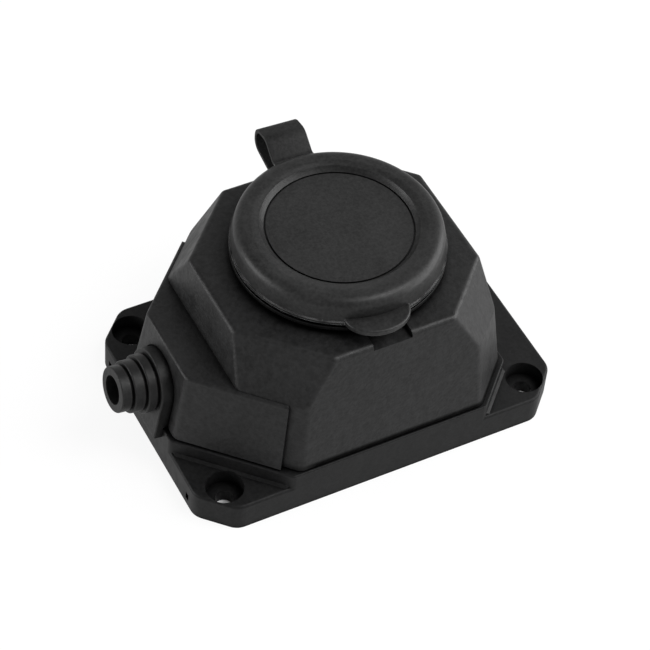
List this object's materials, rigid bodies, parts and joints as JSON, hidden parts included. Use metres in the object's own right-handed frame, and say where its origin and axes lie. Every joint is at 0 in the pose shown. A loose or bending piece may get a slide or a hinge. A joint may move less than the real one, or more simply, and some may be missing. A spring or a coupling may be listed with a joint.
{
  "type": "outdoor weatherproof socket",
  "caption": "Black surface-mount weatherproof power socket with a tapered hood, a side cable entry with a stepped grommet, and a round rubber cap that swings back on a strap.",
  "frame": {"origin": "on the rear face, midway between the four fixing holes", "axes": "+Z away from the wall, +X along the base's long side and away from the cable entry, +Y towards the strap"},
  "size_m": [0.1161, 0.0782, 0.0595],
  "materials": {
    "base_black": "satin moulded",
    "hood_black": "fine moulded texture",
    "cap_black": "soft matte",
    "rubber_black": "matte",
    "insert_black": "smooth satin",
    "carrier_white": "smooth satin",
    "clamp_grey": "satin",
    "brass": "drawn",
    "steel": "plated"
  },
  "bodies": {
    "housing": {"base_plate": "base_black", "housing_gasket": "rubber_black", "hood": "hood_black", "thread_inserts": "brass", "housing_screws": "steel", "cable_grommet": "rubber_black", "cable_clamp": "clamp_grey", "clamp_screws": "steel", "socket_insert": "insert_black", "insert_seal": "rubber_black", "insert_screws": "steel", "contact_carrier": "carrier_white", "live_contact": "brass", "neutral_contact": "brass", "contact_springs": "steel", "earth_bracket": "steel", "terminal_plates": "steel", "terminal_screws": "steel", "carrier_nut": "steel", "carrier_screw": "steel", "cap_strap": "cap_black"},
    "lid": {"cap": "cap_black"}
  },
  "joints": [
    {"name": "cap_hinge", "type": "hinge", "parent": "housing", "child": "lid", "pos_m": [0.00215, 0.04094, 0.054], "axis": [-0.9986, 0.0523, 0], "range_deg": [0, 160], "deforming": ["cap_strap"]}
  ]
}
